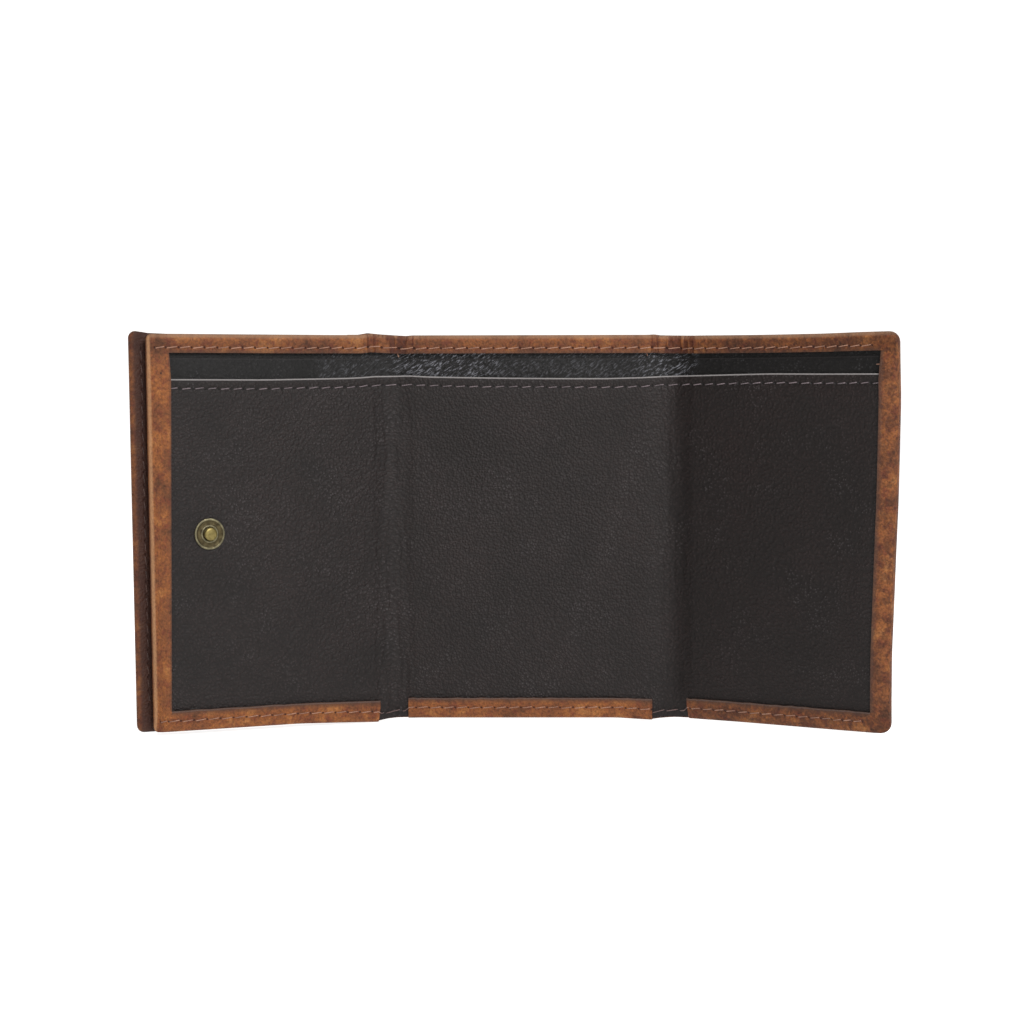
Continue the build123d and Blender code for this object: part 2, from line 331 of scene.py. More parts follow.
def score(piece, places):
    """Cut lines right through a piece, given as {axis number: places}, so that it can bend there."""
    pick(piece, "points", anywhere)
    for axis, stops in places.items():
        for stop in stops:
            point, normal = [0.0, 0.0, 0.0], [0.0, 0.0, 0.0]
            point[axis], normal[axis] = stop, 1.0
            bpy.ops.mesh.select_all(action="SELECT")
            bpy.ops.mesh.bisect(plane_co=point, plane_no=normal, threshold=0.00001)
    put_down()


def blank(name, x, depth, z):
    """A block of leather between two places along the wallet, two depths and two heights."""
    put_down()
    middle = ((x[0] + x[1]) / 2, back - (depth[0] + depth[1]) / 2, (z[0] + z[1]) / 2)
    bpy.ops.mesh.primitive_cube_add(size=1, location=middle)
    return new_piece(name, (x[1] - x[0], depth[1] - depth[0], z[1] - z[0]))


def modify(piece, kind, **settings):
    """Put a modifier on a piece and apply it."""
    take(piece)
    modifier = piece.modifiers.new(kind.title(), kind)
    for name, value in settings.items():
        setattr(modifier, name, value)
    bpy.ops.object.modifier_apply(modifier=modifier.name)


def halve(piece, left_name, right_name):
    """Cut a full-length piece at the middle of the wallet and close both cut ends."""
    halves = []
    for name, cleared in ((left_name, "clear_outer"), (right_name, "clear_inner")):
        take(piece)
        bpy.ops.object.duplicate()
        half = bpy.context.object
        half.name = half.data.name = name
        pick(half, "points", anywhere)
        cut_off = {"use_fill": True, cleared: True}
        bpy.ops.mesh.bisect(plane_co=(0, 0, 0), plane_no=(1, 0, 0), threshold=0.00001, **cut_off)
        put_down()
        halves.append(half)
    bpy.data.objects.remove(piece)
    return halves


def steps(start, end, size):
    """Even places from start to end, about one size apart."""
    count = max(1, round(abs(end - start) / size))
    return [start + (end - start) * i / count for i in range(count + 1)]


def smooth(piece, angle):
    """Shade a piece smooth, except across edges sharper than the angle."""
    take(piece)
    bpy.ops.object.shade_smooth_by_angle(angle=radians(angle))


def fold_lines(near, far):
    """Places along the wallet where its sheets are scored, close together at the folds."""
    places = set()
    for axis, reach in ((left_axis[0], 8.0), (right_axis[0], 9.0)):
        places.update(steps(axis - reach, axis + reach, near))
    places.update(steps(left_end + 7.0, left_axis[0] - 8.0, far))
    places.update(steps(left_axis[0] + 8.0, right_axis[0] - 9.0, far))
    places.update(steps(right_axis[0] + 9.0, right_end - 6.0, far))
    places.update((left_end + 2.0, left_end + 4.0, right_end - 2.0, right_end - 3.5))
    return sorted(places)


def tray(name, x, depth, z, leather, window, free_left, free_right, radius, lines):
    """Leather with its edges turned over: a block hollowed through a window and undercut below its edges."""
    made = blank(name, x, depth, z)
    ends = [place for place, free in ((x[0], free_left), (x[1], free_right)) if free]
    for place, size in zip(ends, radius):
        bevel(made, lambda at, way, end=place: through_it(at, way) and abs(at.x - end) < 0.01, size, 5)
    shut = [place for place, free in ((x[0], free_left), (x[1], free_right)) if not free]
    at_shut = lambda at: any(abs(at.x - place) < 0.01 for place in shut)
    rim = min(rim_round, (depth[1] - depth[0]) * 0.45)
    bevel(made, lambda at, way: abs(way.y) < 0.1 and not at_shut(at), rim, 4)
    score(made, lines)
    front = back - depth[1]
    in_window = lambda at: window[0] < at.x < window[1] and window[2] < at.z < window[3]
    pick(made, "faces", lambda at, way: way.y < -0.9 and abs(at.y - front) < 0.01 and in_window(at))
    extrude(0, turned_edge, 0)
    extrude(0, 0, 0)
    cavity = (x[0] + edge_wall * free_left, x[1] - edge_wall * free_right, z[0] + edge_wall, z[1] - edge_wall)
    middle = ((window[0] + window[1]) / 2, 0, (window[2] + window[3]) / 2)
    wider = (cavity[1] - cavity[0]) / (window[1] - window[0])
    taller = (cavity[3] - cavity[2]) / (window[3] - window[2])
    bpy.ops.transform.resize(value=(wider, 1, taller), center_override=middle)
    shift = ((cavity[0] + cavity[1]) / 2 - middle[0], 0, (cavity[2] + cavity[3]) / 2 - middle[2])
    bpy.ops.transform.translate(value=shift)
    extrude(0, depth[1] - depth[0] - turned_edge - leather, 0)
    put_down()
    return made


# Shell ----------------------------------------------------

shell_x = fold_lines(0.55, 2.0)
border_x = [left_end + left_border, right_end - right_border]
border_x += [place + side * 0.04 for gap in (left_gap, right_gap) for place in gap for side in (-1, 1)]
shell_z = steps(bottom_border, height - top_border, 3.5)
shell_z += [row + step for row in (bottom_row, top_row) for step in (-0.8, 0.0, 0.8)] + [height - 1.8]
shell = tray(
    "shell",
    (left_end, right_end),
    (0.0, stack),
    (0.0, height),
    shell_leather,
    (left_end + left_border, right_end - right_border, bottom_border, height - top_border),
    True,
    True,
    (1.5, 2.7),
    {0: shell_x + border_x, 2: shell_z},
)
outer_left, outer_right = halve(shell, "outer_left", "outer_right")

# Inner sheets ---------------------------------------------

sheet_x = (left_end + edge_wall + 0.1, right_end - edge_wall - 0.1)
sheet_z0 = edge_wall + 0.1


def inner_sheet(name, depth, top, near, edge):
    """A sheet inside the shell, scored for the folds, with its upper edge rounded."""
    made = blank(name, sheet_x, depth, (sheet_z0, top))
    bevel(made, lambda at, way: abs(way.x) > 0.9 and at.z > top - 0.01, edge, 3)
    rows = steps(sheet_z0 + 3.0, top - 3.4, 3.2) + [top - 2.8, top - 2.4, top - 2.0, top - 1.2]
    score(made, {0: fold_lines(near, 4.0), 2: rows})
    return halve(made, f"{name}_left", f"{name}_right")


lining_pair = inner_sheet("back_lining", lining_depths, height - edge_wall - 0.1, 1.0, 0.1)
divider_pair = inner_sheet("note_divider", divider_depths, divider_top, 0.8, 0.15)
pocket_pair = inner_sheet("note_pocket", pocket_depths, pocket_top, 0.4, 0.3)


# Boards ---------------------------------------------------

boards = []
for panel, ends in {
    "left": (sheet_x[0] + 0.5, left_axis[0] - 2.5),
    "middle": (left_axis[0] + 2.5, right_axis[0] - 4.9),
    "right": (right_axis[0] + 4.9, sheet_x[1] - 0.5),
}.items():
    made = blank(f"stiffener_{panel}", ends, board_depths, (edge_wall + 0.5, height - edge_wall - 0.5))
    bevel(made, through_it, 1.0, 3)
    board_z = steps(4.0, height - 12.0, 8.0) + [height - 8.0, height - 5.0, height - 3.0]
    score(made, {0: steps(ends[0] + 2.0, ends[1] - 2.0, 6.0), 2: board_z})
    boards.append((panel, made))

# Stitches -------------------------------------------------

thread_radius = 0.14


def one_stitch(name, length, slant):
    """One stitch: a thread that rises from its hole, lies slanting on the leather and dives again."""
    put_down()
    turn = (0, pi / 2, 0)
    bpy.ops.mesh.primitive_cylinder_add(vertices=6, radius=thread_radius, depth=length, rotation=turn)
    made = new_piece(name)
    score(made, {0: [-length * 0.42, -length * 0.3, 0.0, length * 0.3, length * 0.42]})
    for vertex in made.data.vertices:
        share = abs(vertex.co.x) / (length / 2)
        thin = 1.0 - 0.4 * share**6
        vertex.co.y = vertex.co.y * thin + 0.42 * share**4
        vertex.co.z = vertex.co.z * thin + slant * vertex.co.x / length
    return made


def stitch_row(name, first, count, level, depth, slant, length, face=1, upright=False):
    """A row of equal stitches; the first one lies between needle holes number first and first + 1."""
    made = one_stitch(name, length, slant)
    take(made)
    bpy.ops.object.mode_set(mode="EDIT")
    bpy.ops.mesh.select_all(action="SELECT")
    if upright:
        bpy.ops.transform.rotate(value=pi / 2, orient_axis="Y", center_override=(0, 0, 0))
    if face < 0:
        bpy.ops.transform.rotate(value=pi, orient_axis="Z", center_override=(0, 0, 0))
    start = (first + 0.5) * stitch_pitch
    place = (level, back - depth, start) if upright else (start, back - depth, level)
    bpy.ops.transform.translate(value=place)
    put_down()
    offset = (0, 0, stitch_pitch) if upright else (stitch_pitch, 0, 0)
    even = {"use_relative_offset": False, "use_constant_offset": True, "constant_offset_displace": offset}
    modify(made, "ARRAY", count=count, **even)
    for vertex in made.data.vertices:
        n = round(((vertex.co.z if upright else vertex.co.x) - start) / stitch_pitch)
        wander = noise.noise((n * 0.73, level * 0.31, depth)) * 0.15
        if upright:
            vertex.co.x += wander
        else:
            vertex.co.z += wander
    return made


def holes_between(low, high):
    """First needle hole after one place and the number of whole stitches before the other."""
    first = ceil(low / stitch_pitch)
    return first, floor(high / stitch_pitch) - first


proud = stack + 0.03
threads = []
shell_runs = {"left": (left_end + 2.0, 0.0), "right": (0.0, right_end - 4.6)}
pocket_runs = {"left": (left_end + left_border - 2.0, 0.0), "right": (0.0, right_end - right_border + 1.5)}
for half in ("left", "right"):
    first, count = holes_between(*shell_runs[half])
    for name, level, depth, face in (
        ("top_stitches", top_row, proud, 1),
        ("bottom_stitches", bottom_row, proud, 1),
        ("back_top_stitches", top_row, -0.04, -1),
        ("back_bottom_stitches", bottom_row, -0.04, -1),
    ):
        row = stitch_row(f"{name}_{half}", first, count, level, depth, 0.4, 2.9, face)
        threads.append((half, "brown", row))
    first, count = holes_between(*pocket_runs[half])
    row = stitch_row(f"pocket_stitches_{half}", first, count, pocket_row, pocket_depths[1] + 0.02, 0.3, 2.6)
    threads.append((half, "dark", row))

# Loose ends: a tack beside the pocket mouth, a tail hanging at the right fold and one at the left
for name, x, level, depth, slant, length, upright in (
    ("mouth_tack", right_end - right_border - 0.4, pocket_top + 2.6, 3.4, 0.05, 2.0, False),
    ("thread_tail_right", right_axis[0] - 6.2, height - top_border + 0.3, 2.75, 0.5, 2.2, True),
    ("thread_tail_left", left_axis[0] + 1.3, height - top_border - 0.3, 2.7, 0.3, 1.3, True),
):
    place = (level if upright else x) / stitch_pitch - 0.5
    tail = stitch_row(name, place, 1, x if upright else level, depth, slant, length, 1, upright)
    threads.append(("left" if x < 0 else "right", "brown", tail))

# Coin pouch -----------------------------------------------

flap_x = steps(flap_end + 5.0, flap_start - 1.0, 5.0) + [flap_end + 2.0, flap_end + 3.5]
flap_z = steps(5.0, flap_top - 5.0, 5.0) + [2.5, flap_top - 2.5]
coin_flap = tray(
    "coin_flap",
    (flap_end, flap_start),
    flap_depths,
    (0.0, flap_top),
    0.9,
    (flap_end + 5.0, flap_start - 0.5, 5.0, flap_top - 5.0),
    True,
    False,
    (1.8,),
    {0: flap_x, 2: flap_z},
)
flap_lining_x = (flap_end + 1.1, flap_start - 0.6)
flap_lining_z = (1.1, flap_top - 1.8)
flap_lining = blank("flap_lining", flap_lining_x, flap_lining_depths, flap_lining_z)
bevel(flap_lining, through_it, 1.0, 3)

# Flap stitches: a row up the free edge on both faces, and one along the top and the bottom of the outer one
flap_up = holes_between(4.0, flap_top - 4.0)
flap_across = holes_between(flap_end + 4.0, flap_start - 2.0)
flap_level = flap_end + 3.0
flap_threads = [
    stitch_row("flap_edge_stitches", *flap_up, flap_level, flap_depths[1] + 0.02, 0.35, 2.8, 1, True),
    stitch_row("flap_back_edge_stitches", *flap_up, flap_level, flap_depths[0] - 0.02, 0.35, 2.8, -1, True),
    stitch_row("flap_back_top_stitches", *flap_across, flap_top - 3.6, flap_depths[0] - 0.02, 0.35, 2.8, -1),
    stitch_row("flap_back_bottom_stitches", *flap_across, 3.0, flap_depths[0] - 0.02, 0.35, 2.8, -1),
]


def upright_square(name):
    """A square that stands in the plane of x and z."""
    put_down()
    bpy.ops.mesh.primitive_plane_add(size=1, location=(0, 0, 0), rotation=(pi / 2, 0, 0))
    return new_piece(name)


def strip_from_path(name, path, low, high, thick):
    """A strip of leather that follows a path of (x, depth) places: an upright wall, given a thickness."""
    made = upright_square(name)
    for vertex in made.data.vertices:
        x, depth = path[0] if vertex.co.x < 0 else path[1]
        vertex.co = (x, back - depth, low if vertex.co.z < 0 else high)
    for before, after in zip(path[1:], path[2:]):
        at_end = lambda at, way, end=before: abs(at.x - end[0]) + abs(at.y - back + end[1]) < 0.001
        pick(made, "points", at_end)
        extrude(after[0] - before[0], before[1] - after[1], 0)
        put_down()
    pick(made, "faces", anywhere)
    bpy.ops.mesh.normals_make_consistent(inside=False)
    put_down()
    modify(made, "SOLIDIFY", thickness=thick, offset=0.0)
    score(made, {2: steps(low + 3.0, high - 3.0, 8.0)})
    return made


# Spine strip of the pouch: sewn to the panel, round the hinge and under the flap
hinge_leather = 0.8
mid_depth = flap_depths[0] / 2
turn_radius = -mid_depth - hinge_leather / 2
hinge_path = [(coin_axis_x - 5.5, -0.4), (coin_axis_x - 2.7, -0.4)]
bends = [pi * i / 10 for i in range(11)]
hinge_path += [(coin_axis_x + turn_radius * sin(a), mid_depth + turn_radius * cos(a)) for a in bends]
hinge_path += [(flap_start + 0.05, flap_depths[0] + 0.4)]
spine = strip_from_path("pouch_spine", hinge_path, 0.6, height + 0.1, hinge_leather)
spine_up = holes_between(2.0, height - 1.0)
spine_threads = stitch_row("spine_stitches", *spine_up, coin_axis_x - 3.9, -0.82, 0.3, 2.8, -1, True)


def gusset(name, level, way):
    """Cloth folded in on itself between the panel and the flap, deeper towards the free edge."""
    near, far = coin_axis_x - 6.2, flap_end + 5.8
    deep = 23.0
    put_down()
    bpy.ops.mesh.primitive_grid_add(x_subdivisions=14, y_subdivisions=8, size=1)
    made = new_piece(name)
    for vertex in made.data.vertices:
        run, across_gap = vertex.co.x + 0.5, vertex.co.y + 0.5
        fold_in = 1 - abs(across_gap - 0.5) * 2
        x = near + (far - near) * run
        depth = -0.28 - 1.64 * across_gap
        z = level - way * deep * run * fold_in
        vertex.co = (x, back - depth, z)
    modify(made, "SOLIDIFY", thickness=0.22, offset=0.0)
    return made


gusset_top = gusset("gusset_top", flap_top - 6.0, 1)
gusset_bottom = gusset("gusset_bottom", 6.0, -1)

# Press studs ----------------------------------------------


def turned(name, node, outline, toward):
    """A turned metal piece: an outline of (radius, height) places, spun and seated where its node is."""
    made = upright_square(name)
    pick(made, "points", lambda place, normal: place.x > 0)
    bpy.ops.mesh.delete(type="VERT")
    put_down()
    mesh = made.data
    for vertex, place in zip(mesh.vertices, outline[:2]):
        vertex.co = (place[0], 0, place[1])
    for before, after in zip(outline[1:], outline[2:]):
        at_end = lambda at, way, end=before: abs(at.x - end[0]) + abs(at.z - end[1]) < 0.0001
        pick(made, "points", at_end)
        extrude(after[0] - before[0], 0, after[1] - before[1])
        put_down()
    pick(made, "points", anywhere)
    bpy.ops.mesh.spin(steps=48, angle=2 * pi, center=(0, 0, 0), axis=(0, 0, 1))
    bpy.ops.mesh.select_all(action="SELECT")
    bpy.ops.mesh.remove_doubles(threshold=0.0005)
    bpy.ops.mesh.normals_make_consistent(inside=False)
    put_down()
    direction = Vector(toward).normalized()
    turn = direction.to_track_quat("Z", "Y").to_matrix()
    seat = seat_of(node, direction)
    for vertex in mesh.vertices:
        vertex.co = (seat + turn @ Vector(vertex.co)) * MM
    smooth(made, 35)
    return made


def seat_of(node, direction):
    """Where a round node starts along a direction; the closure's pieces rise with the grown stack."""
    spots = [Vector(vertex.co) / MM for vertex in frame["nodes"][node].data.vertices]
    up = Vector((0, 0, 1))
    seat = direction * min(spot @ direction for spot in spots)
    for way in (up, up.cross(direction)):
        reach = [spot @ way for spot in spots]
        seat += way * (min(reach) + max(reach)) / 2
    if node.startswith("closure"):
        seat.z *= growth
    return seat


left_face = (sin(radians(left_turn)), -cos(radians(left_turn)), 0)
left_back = tuple(-value for value in left_face)
right_back = (sin(radians(right_turn)), cos(radians(right_turn)), 0)
stud_outline = [
    (0.0, 0.02), (3.7, 0.02), (3.95, 0.1), (4.0, 0.26), (3.93, 0.42), (3.72, 0.5), (3.5, 0.46), (3.36, 0.34),
    (3.2, 0.27), (2.5, 0.25), (2.36, 0.3), (2.26, 0.42), (2.1, 0.48), (1.9, 0.45), (1.8, 0.34), (1.66, 0.3),
    (1.5, 0.34), (1.46, 0.7), (1.52, 0.86), (1.68, 1.02), (1.72, 1.2), (1.66, 1.42), (1.48, 1.58),
    (1.1, 1.67), (0.6, 1.7), (0.0, 1.7),
]
socket_outline = [
    (0.0, 0.3), (2.05, 0.3), (2.05, 1.35), (2.2, 1.52), (2.5, 1.6), (3.3, 1.58), (3.8, 1.42), (4.1, 1.1),
    (4.2, 0.7), (4.2, 0.2), (4.1, 0.02), (0.0, 0.02),
]
stud = turned("snap_stud", "closure_stud", stud_outline, left_face)
socket = turned("snap_socket", "closure_socket", socket_outline, right_back)
coin_post = turned("coin_snap_stud", "coin_stud", stud_outline, left_back)


# Laying up and joining to the frame -----------------------


def across(piece, half):
    """Bake a piece's transform into its mesh; the half is not used."""
    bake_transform(piece)


def round_the_pouch(piece):
    """Bake a piece's transform into its mesh."""
    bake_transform(piece)


for piece in (outer_left, outer_right):
    lay_up(piece, 0.5, gaps=True)
for piece in (*lining_pair, *divider_pair):
    lay_up(piece, 0.25)
for piece in pocket_pair:
    lay_up(piece, 1.0, sag=pocket_sag)
for half, kind, row in threads:
    on_pocket = kind == "dark"
    lay_up(row, 1.0 if on_pocket else 0.25, sag=pocket_sag if on_pocket else 0.0, angle=60)
for row in (*flap_threads, spine_threads):
    lay_up(row, angle=60)
for piece in (coin_flap, flap_lining, spine, gusset_top, gusset_bottom, *(board for panel, board in boards)):
    lay_up(piece)

for pair, stem, slot in (
    ((outer_left, outer_right), "shell", "outer_leather"),
    (lining_pair, "lining", "lining_leather"),
    (divider_pair, "divider", "lining_leather"),
    (pocket_pair, "pocket", "pocket_leather"),
):
    for piece, half in zip(pair, ("left", "right")):
        across(piece, half)
        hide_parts(f"{stem}_{half}", f"{stem}_fold_{half}", f"{stem}_middle")
for half, kind, row in threads:
    across(row, half)
for row in flap_threads:
    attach(row, "coin_flap")
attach(spine_threads, "left")
riders = [(board, panel, "board", f"board_{panel}") for panel, board in boards]
riders += [
    (coin_flap, "coin_flap", "outer_leather", "coin_flap_shell"),
    (flap_lining, "coin_flap", "cloth", "coin_flap_lining"),
    (stud, "left", "antique_brass", "closure_stud"),
    (socket, "right", "antique_brass", "closure_socket"),
    (coin_post, "left", "antique_brass", "coin_stud"),
]
for piece, body, slot, node in riders:
    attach(piece, body)
    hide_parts(node)
for piece, slot, node in (
    (spine, "outer_leather", "coin_hinge"),
    (gusset_top, "cloth", "coin_gusset_top"),
    (gusset_bottom, "cloth", "coin_gusset_bottom"),
):
    round_the_pouch(piece)
    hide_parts(node)


# Materials ------------------------------------------------


def linear(code):
    """Linear colour of an sRGB hex value."""
    values = [int(code[i : i + 2], 16) / 255 for i in (1, 3, 5)]
    return (*(v / 12.92 if v <= 0.04045 else ((v + 0.055) / 1.055) ** 2.4 for v in values), 1.0)


def add_node(tree, kind, settings=None, **links):
    """Add a node with its settings; each link names an input, and gives a value, a node or a node and its output."""
    made = tree.nodes.new(kind)
    for name, value in (settings or {}).items():
        if name == "stops":
            elements = made.color_ramp.elements
            while len(elements) < len(value):
                elements.new(0.5)
            for element, (place, colour) in zip(elements, value):
                element.position = place
                element.color = linear(colour) if isinstance(colour, str) else (colour, colour, colour, 1.0)
        else:
            setattr(made, name, value)
    for name, value in links.items():
        socket = made.inputs[int(name[1:])] if name[1:].isdigit() else made.inputs[name.replace("_", " ")]
        if isinstance(value, tuple) and hasattr(value[0], "outputs"):
            tree.links.new(value[0].outputs[value[1]], socket)
        elif hasattr(value, "outputs"):
            tree.links.new(value.outputs[0], socket)
        else:
            socket.default_value = value
    return made


def new_material(name, **settings):
    """A material with its shader; what is uniform is set on the shader itself."""
    made = bpy.data.materials.new(name)
    made.use_nodes = True
    tree = made.node_tree
    tree.nodes.clear()
    shader = add_node(tree, "ShaderNodeBsdfPrincipled", **settings)
    add_node(tree, "ShaderNodeOutputMaterial", Surface=shader)
    return made, tree, shader


def wear(tree, shader, **links):
    """Link finished patterns to the shader."""
    for name, value in links.items():
        node, output = value if isinstance(value, tuple) else (value, 0)
        tree.links.new(node.outputs[output], shader.inputs[name.replace("_", " ")])


def needle_row(tree, parts, run, level_axis, level, middle, half):
    """Two greys along a stitch row that ends half a length from its middle: how near the row, and how near a needle hole."""
    phase = add_node(tree, "ShaderNodeMath", {"operation": "PINGPONG"}, i0=(parts, run), i1=stitch_pitch / 2)
    off = add_node(tree, "ShaderNodeMath", {"operation": "SUBTRACT"}, i0=(parts, level_axis), i1=level)
    away = add_node(tree, "ShaderNodeMath", {"operation": "ABSOLUTE"}, i0=off)
    near = add_node(tree, "ShaderNodeMapRange", {"interpolation_type": "SMOOTHSTEP"}, Value=away, From_Min=0.0, From_Max=1.4, To_Min=1.0, To_Max=0.0)
    squared = add_node(tree, "ShaderNodeMath", {"operation": "MULTIPLY"}, i0=phase, i1=phase)
    reach = add_node(tree, "ShaderNodeMath", {"operation": "MULTIPLY_ADD"}, i0=away, i1=away, i2=squared)
    within = add_node(tree, "ShaderNodeMath", {"operation": "COMPARE"}, i0=(parts, run), i1=middle, i2=half)
    spot = add_node(tree, "ShaderNodeMapRange", {"interpolation_type": "SMOOTHSTEP"}, Value=reach, From_Min=0.01, From_Max=0.12, To_Min=1.0, To_Max=0.0)
    return near, add_node(tree, "ShaderNodeMath", {"operation": "MULTIPLY"}, i0=spot, i1=within)


def mixed(tree, factor, a, b, blend="MIX"):
    return (add_node(tree, "ShaderNodeMix", {"data_type": "RGBA", "blend_type": blend}, i0=factor, i6=a, i7=b), 2)


def band(tree, source, start, end, low=0.0, high=1.0):
    return add_node(tree, "ShaderNodeMapRange", {"interpolation_type": "SMOOTHSTEP"}, Value=source, From_Min=start, From_Max=end, To_Min=low, To_Max=high)


def inside(tree, source, low, high):
    return add_node(tree, "ShaderNodeMath", {"operation": "COMPARE"}, i0=source, i1=(low + high) / 2, i2=(high - low) / 2)


def product(tree, first, *others):
    for other in others:
        first = add_node(tree, "ShaderNodeMath", {"operation": "MULTIPLY"}, i0=first, i1=other)
    return first


# Pull-up leather, waxed and brushed: tan to red-brown patches, darker along the stitch rows, paler and olive on its
# rims (partly wear, partly painted highlight), darkest in blotches over the right panel (mottling and painted shade)
def pull_up_leather(name, flap=False):
    made, tree, shader = new_material(name, Specular_IOR_Level=0.22)
    cut = (add_node(tree, "ShaderNodeAttribute", {"attribute_name": "cut"}), "Vector")
    parts = add_node(tree, "ShaderNodeSeparateXYZ", Vector=cut)
    patches = add_node(tree, "ShaderNodeTexNoise", Vector=cut, Scale=1 / 7.0, Detail=6.0, Roughness=0.68, Distortion=0.3)
    colour = add_node(tree, "ShaderNodeValToRGB", {"stops": [(0.32, "#492b18"), (0.45, "#683c20"), (0.56, "#7a4721"), (0.68, "#8c5a2e")]}, Fac=patches)
    red = add_node(tree, "ShaderNodeTexNoise", Vector=cut, Scale=1 / 2.2, Detail=4.0, Roughness=0.65)
    red_share = band(tree, red, 0.47, 0.66, 0.0, 0.65)
    tone = mixed(tree, red_share, colour, linear("#5c2a1a"))
    speck = add_node(tree, "ShaderNodeTexNoise", Vector=cut, Scale=1 / 0.7, Detail=4.0, Roughness=0.7)
    speck_tone = add_node(tree, "ShaderNodeValToRGB", {"stops": [(0.36, 0.55), (0.5, 0.92), (0.66, 1.2)]}, Fac=speck)
    tone = mixed(tree, 1.0, tone, speck_tone, "MULTIPLY")
    # The right panel is painted darker in blotches: its own mottling, plus painted shade for the panel turned from the
    # key light
    shaded_right_panel = band(tree, (parts, 0), 28.0, 55.0, 0.0, 1.0)
    blotch = add_node(tree, "ShaderNodeTexNoise", Vector=cut, Scale=1 / 1.9, Detail=3.0, Roughness=0.6, Distortion=0.6)
    mottle_and_shade = add_node(tree, "ShaderNodeMath", {"operation": "MULTIPLY"}, i0=shaded_right_panel, i1=band(tree, blotch, 0.42, 0.58, 0.25, 0.95))
    tone = mixed(tree, mottle_and_shade, tone, (0.5, 0.48, 0.52, 1.0), "MULTIPLY")
    cells = add_node(tree, "ShaderNodeTexVoronoi", {"feature": "SMOOTH_F1"}, Vector=cut, Scale=1 / 0.6, Smoothness=0.4)
    pores = add_node(tree, "ShaderNodeMath", {"operation": "MULTIPLY_ADD"}, i0=speck, i1=1.4, i2=cells)
    run_middle, run_half = (left_end + 2.0 + right_end - 4.6) / 2, (right_end - left_end - 6.4) / 2
    rows = [(0, 1, top_row, run_middle, run_half), (0, 1, bottom_row, run_middle, run_half)]
    if flap:
        rows = [(1, 0, flap_level, flap_top / 2, flap_top / 2 - 4)]
        rows += [(0, 1, level, (flap_end + flap_start) / 2 + 1, (flap_start - flap_end) / 2 - 3) for level in (3.0, flap_top - 3.6)]
    pulled = None
    for row in rows:
        near, hole = needle_row(tree, parts, *row)
        near = product(tree, near, band(tree, (parts, 2), 0.5, 1.5, 1.0, 0.3))
        tone = mixed(tree, near, tone, (0.74, 0.58, 0.52, 1.0), "MULTIPLY")
        tone = mixed(tree, hole, tone, linear("#30140c"))
        pulled = hole if pulled is None else add_node(tree, "ShaderNodeMath", {"operation": "MAXIMUM"}, i0=hole, i1=pulled)
    if flap:
        # The flap's inner border is painted dark towards the panel: darker leather, with painted shadow cast by the
        # panel in front
        front = band(tree, (parts, 2), -2.6, -1.9)
        inner = add_node(tree, "ShaderNodeMath", {"operation": "MULTIPLY"}, i0=front, i1=band(tree, (parts, 0), flap_end + 0.2, flap_end + 1.6, 0.35, 0.92))
        tone = mixed(tree, inner, tone, linear("#2c1812"))
    else:
        front = band(tree, (parts, 2), 2.0, 3.3)
        across = inside(tree, (parts, 0), left_end + left_border, right_end - right_border)
        upright = inside(tree, (parts, 1), bottom_border, height - top_border)
        # The top border: paler and olive along its rolled rim, partly wear and partly painted highlight; painted darker
        # below the rim, as shade
        on_top = product(tree, front, inside(tree, (parts, 1), height - top_border - 0.4, height + 1.0))
        below_rim = product(tree, on_top, band(tree, (parts, 1), height - 0.9, height - 1.9))
        tone = mixed(tree, below_rim, tone, (0.76, 0.76, 0.8, 1.0), "MULTIPLY")
        rim = product(tree, on_top, band(tree, (parts, 1), height - 1.3, height - 0.4, 0.0, 0.7), band(tree, patches, 0.35, 0.55, 0.6, 1.0))
        tone = mixed(tree, rim, tone, linear("#7d604a"))
        # The skived edges of the turned borders, darker and a little fuzzy: partly darker leather, partly painted shade
        # at the raised edge
        ragged = band(tree, speck, 0.35, 0.6, 0.75, 1.0)
        for axis, level, reach, share, shown in (
            (1, bottom_border, -1.7, 0.85, across),
            (1, height - top_border, 1.2, 0.55, across),
            (0, right_end - right_border, 1.5, 0.8, upright),
            (0, left_end + left_border, -0.8, 0.6, upright),
        ):
            low, high = sorted((level, level + reach))
            edge = product(tree, band(tree, (parts, axis), level, level + reach, share, 0.0), inside(tree, (parts, axis), low - 0.3, high))
            tone = mixed(tree, product(tree, front, shown, ragged, edge), tone, linear("#38271f"))
        pale = product(tree, front, across, inside(tree, (parts, 1), bottom_border - 0.3, bottom_border + 0.3), ragged)
        tone = mixed(tree, product(tree, pale, 0.7), tone, linear("#4e403a"))
        # The left rim is painted paler: a painted highlight where the rolled edge catches the light
        highlight_zone = product(tree, front, band(tree, (parts, 0), left_end + 0.4, left_end + 1.1, 0.75, 0.0), ragged)
        tone = mixed(tree, highlight_zone, tone, linear("#96704f"))
        # An awl mark on the left border
        mark = add_node(tree, "ShaderNodeVectorMath", {"operation": "DISTANCE"}, i0=cut, i1=(left_end + 3.9, 90.2, stack))
        tone = mixed(tree, band(tree, (mark, "Value"), 0.15, 0.5, 0.9, 0.0), tone, linear("#1e0c08"))
